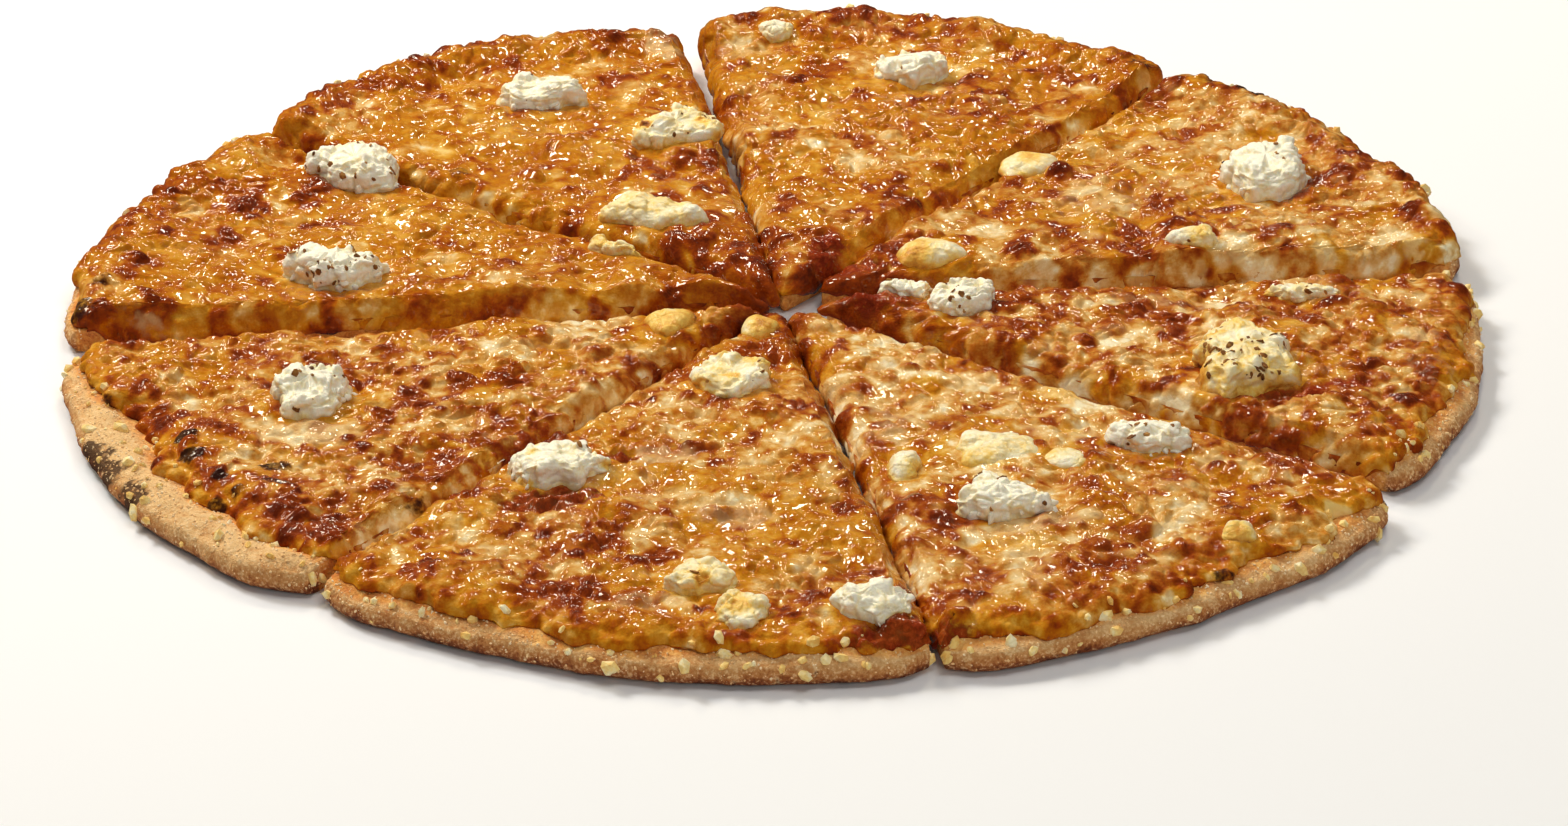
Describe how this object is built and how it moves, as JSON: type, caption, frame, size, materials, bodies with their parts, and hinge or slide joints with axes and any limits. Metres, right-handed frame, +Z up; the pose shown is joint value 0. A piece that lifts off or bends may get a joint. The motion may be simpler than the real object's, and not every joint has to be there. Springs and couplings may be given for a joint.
{
  "type": "cheese pizza",
  "caption": "Round thin-crust cheese pizza cut into slices, with melted browned cheese, tomato sauce and lumps of soft white cheese.",
  "frame": {"origin": "on the surface that the pizza rests on, under its middle", "axes": "+Z up through the pizza's thickness; -Y towards the side that faces the viewer in the picture"},
  "size_m": [0.306, 0.3078, 0.0156],
  "materials": {
    "dough": "baked dough, dry and floury",
    "sauce": "moist tomato sauce",
    "melted_cheese": "melted and browned cheese, oily",
    "soft_cheese": "soft white cheese, moist and crumbly"
  },
  "bodies": {
    "root": {"cheese_1": "melted_cheese", "cheese_2": "melted_cheese", "cheese_3": "melted_cheese", "cheese_4": "melted_cheese", "cheese_5": "melted_cheese", "cheese_6": "melted_cheese", "cheese_7": "melted_cheese", "cheese_8": "melted_cheese", "crust_1": "dough", "crust_2": "dough", "crust_3": "dough", "crust_4": "dough", "crust_5": "dough", "crust_6": "dough", "crust_7": "dough", "crust_8": "dough", "sauce_1": "sauce", "sauce_2": "sauce", "sauce_3": "sauce", "sauce_4": "sauce", "sauce_5": "sauce", "sauce_6": "sauce", "sauce_7": "sauce", "sauce_8": "sauce", "soft_cheese_1_01": "soft_cheese", "soft_cheese_1_02": "soft_cheese", "soft_cheese_1_03": "soft_cheese", "soft_cheese_2_04": "soft_cheese", "soft_cheese_2_05": "soft_cheese", "soft_cheese_3_06": "soft_cheese", "soft_cheese_3_07": "soft_cheese", "soft_cheese_3_08": "soft_cheese", "soft_cheese_3_09": "soft_cheese", "soft_cheese_4_10": "soft_cheese", "soft_cheese_4_11": "soft_cheese", "soft_cheese_4_12": "soft_cheese", "soft_cheese_4_13": "soft_cheese", "soft_cheese_5_14": "soft_cheese", "soft_cheese_5_15": "soft_cheese", "soft_cheese_5_16": "soft_cheese", "soft_cheese_5_17": "soft_cheese", "soft_cheese_5_18": "soft_cheese", "soft_cheese_5_19": "soft_cheese", "soft_cheese_6_20": "soft_cheese", "soft_cheese_6_21": "soft_cheese", "soft_cheese_6_22": "soft_cheese", "soft_cheese_6_23": "soft_cheese", "soft_cheese_6_24": "soft_cheese", "soft_cheese_6_25": "soft_cheese", "soft_cheese_7_26": "soft_cheese", "soft_cheese_7_27": "soft_cheese", "soft_cheese_8_28": "soft_cheese", "soft_cheese_8_29": "soft_cheese", "soft_cheese_8_30": "soft_cheese"}
  },
  "joints": []
}
